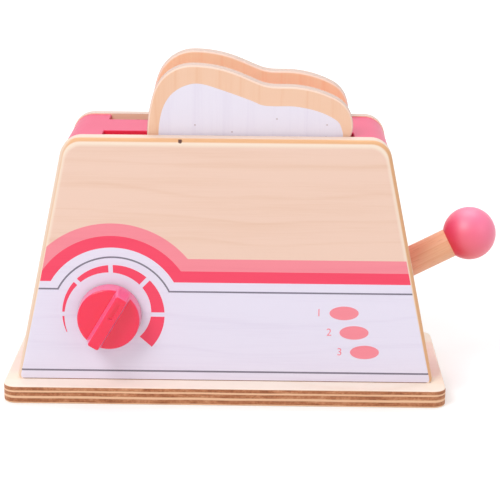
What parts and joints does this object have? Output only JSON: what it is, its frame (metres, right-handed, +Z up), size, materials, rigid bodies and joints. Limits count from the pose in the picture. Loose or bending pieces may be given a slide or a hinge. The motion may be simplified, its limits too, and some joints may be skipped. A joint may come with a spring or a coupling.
{
  "type": "toy toaster",
  "caption": "Wooden pop-up toy toaster on a plywood base, with toast slices in two slots, a seesaw lever that lifts the toast and a turning dial.",
  "frame": {"origin": "centre of the underside of the base board", "axes": "+X to the right towards the lever's ball, +Y from the printed front to the back, +Z up"},
  "size_m": [0.2577, 0.0993, 0.1748],
  "materials": {
    "plywood": "birch plywood, clear lacquer",
    "panel_wood": "pale lime wood, clear lacquer, printed front",
    "pink_paint": "wood painted pink, satin",
    "toast_wood": "pale wood, satin, printed faces",
    "dowel_wood": "beech dowel, satin lacquer",
    "inner_wood": "bare wood",
    "pink_gloss": "wood ball painted pink, gloss",
    "knob_plastic": "moulded, gloss",
    "steel": "zinc plated",
    "fibre": "fibre washer"
  },
  "bodies": {
    "casing": {"base_board": "plywood", "front_panel": "panel_wood", "back_panel": "panel_wood", "side_board_left": "pink_paint", "side_board_right": "pink_paint", "top_board": "pink_paint", "lever_pivot_pin": "steel", "lift_guide_left": "dowel_wood", "lift_guide_right": "dowel_wood", "dial_front_washer": "fibre", "dial_rear_washer": "fibre", "base_screws": "steel", "panel_dowels": "dowel_wood"},
    "lever": {"lever_rod": "dowel_wood", "lever_ball": "pink_gloss", "lever_cross_bar": "dowel_wood"},
    "lift": {"lift_tray": "inner_wood", "lift_cheek_front": "inner_wood", "lift_cheek_rear": "inner_wood"},
    "front_slice": {"toast_front": "toast_wood"},
    "rear_slice": {"toast_rear": "toast_wood"},
    "dial": {"dial_knob": "knob_plastic", "dial_spindle": "steel", "dial_nut": "steel"}
  },
  "joints": [
    {"name": "lever_tip", "type": "hinge", "parent": "casing", "child": "lever", "pos_m": [0.09281, 0, 0.0625], "axis": [0, 1, 0], "range_deg": [0, 31]},
    {"name": "lift_slide", "type": "slide", "parent": "casing", "child": "lift", "axis": [0, 0, 1], "range_m": [0, 0.0367]},
    {"name": "front_slice_slide", "type": "slide", "parent": "lift", "child": "front_slice", "axis": [0, 0, 1], "range_m": [0, 0.08]},
    {"name": "rear_slice_slide", "type": "slide", "parent": "lift", "child": "rear_slice", "axis": [0, 0, 1], "range_m": [0, 0.08]},
    {"name": "dial_turn", "type": "hinge", "parent": "casing", "child": "dial", "pos_m": [-0.0596, -0.04, 0.0455], "axis": [0, 1, 0], "continuous": true}
  ],
  "couplings": [
    {"joint": "lift_slide", "follows": "lever_tip", "m_per_rad": 0.067639}
  ]
}
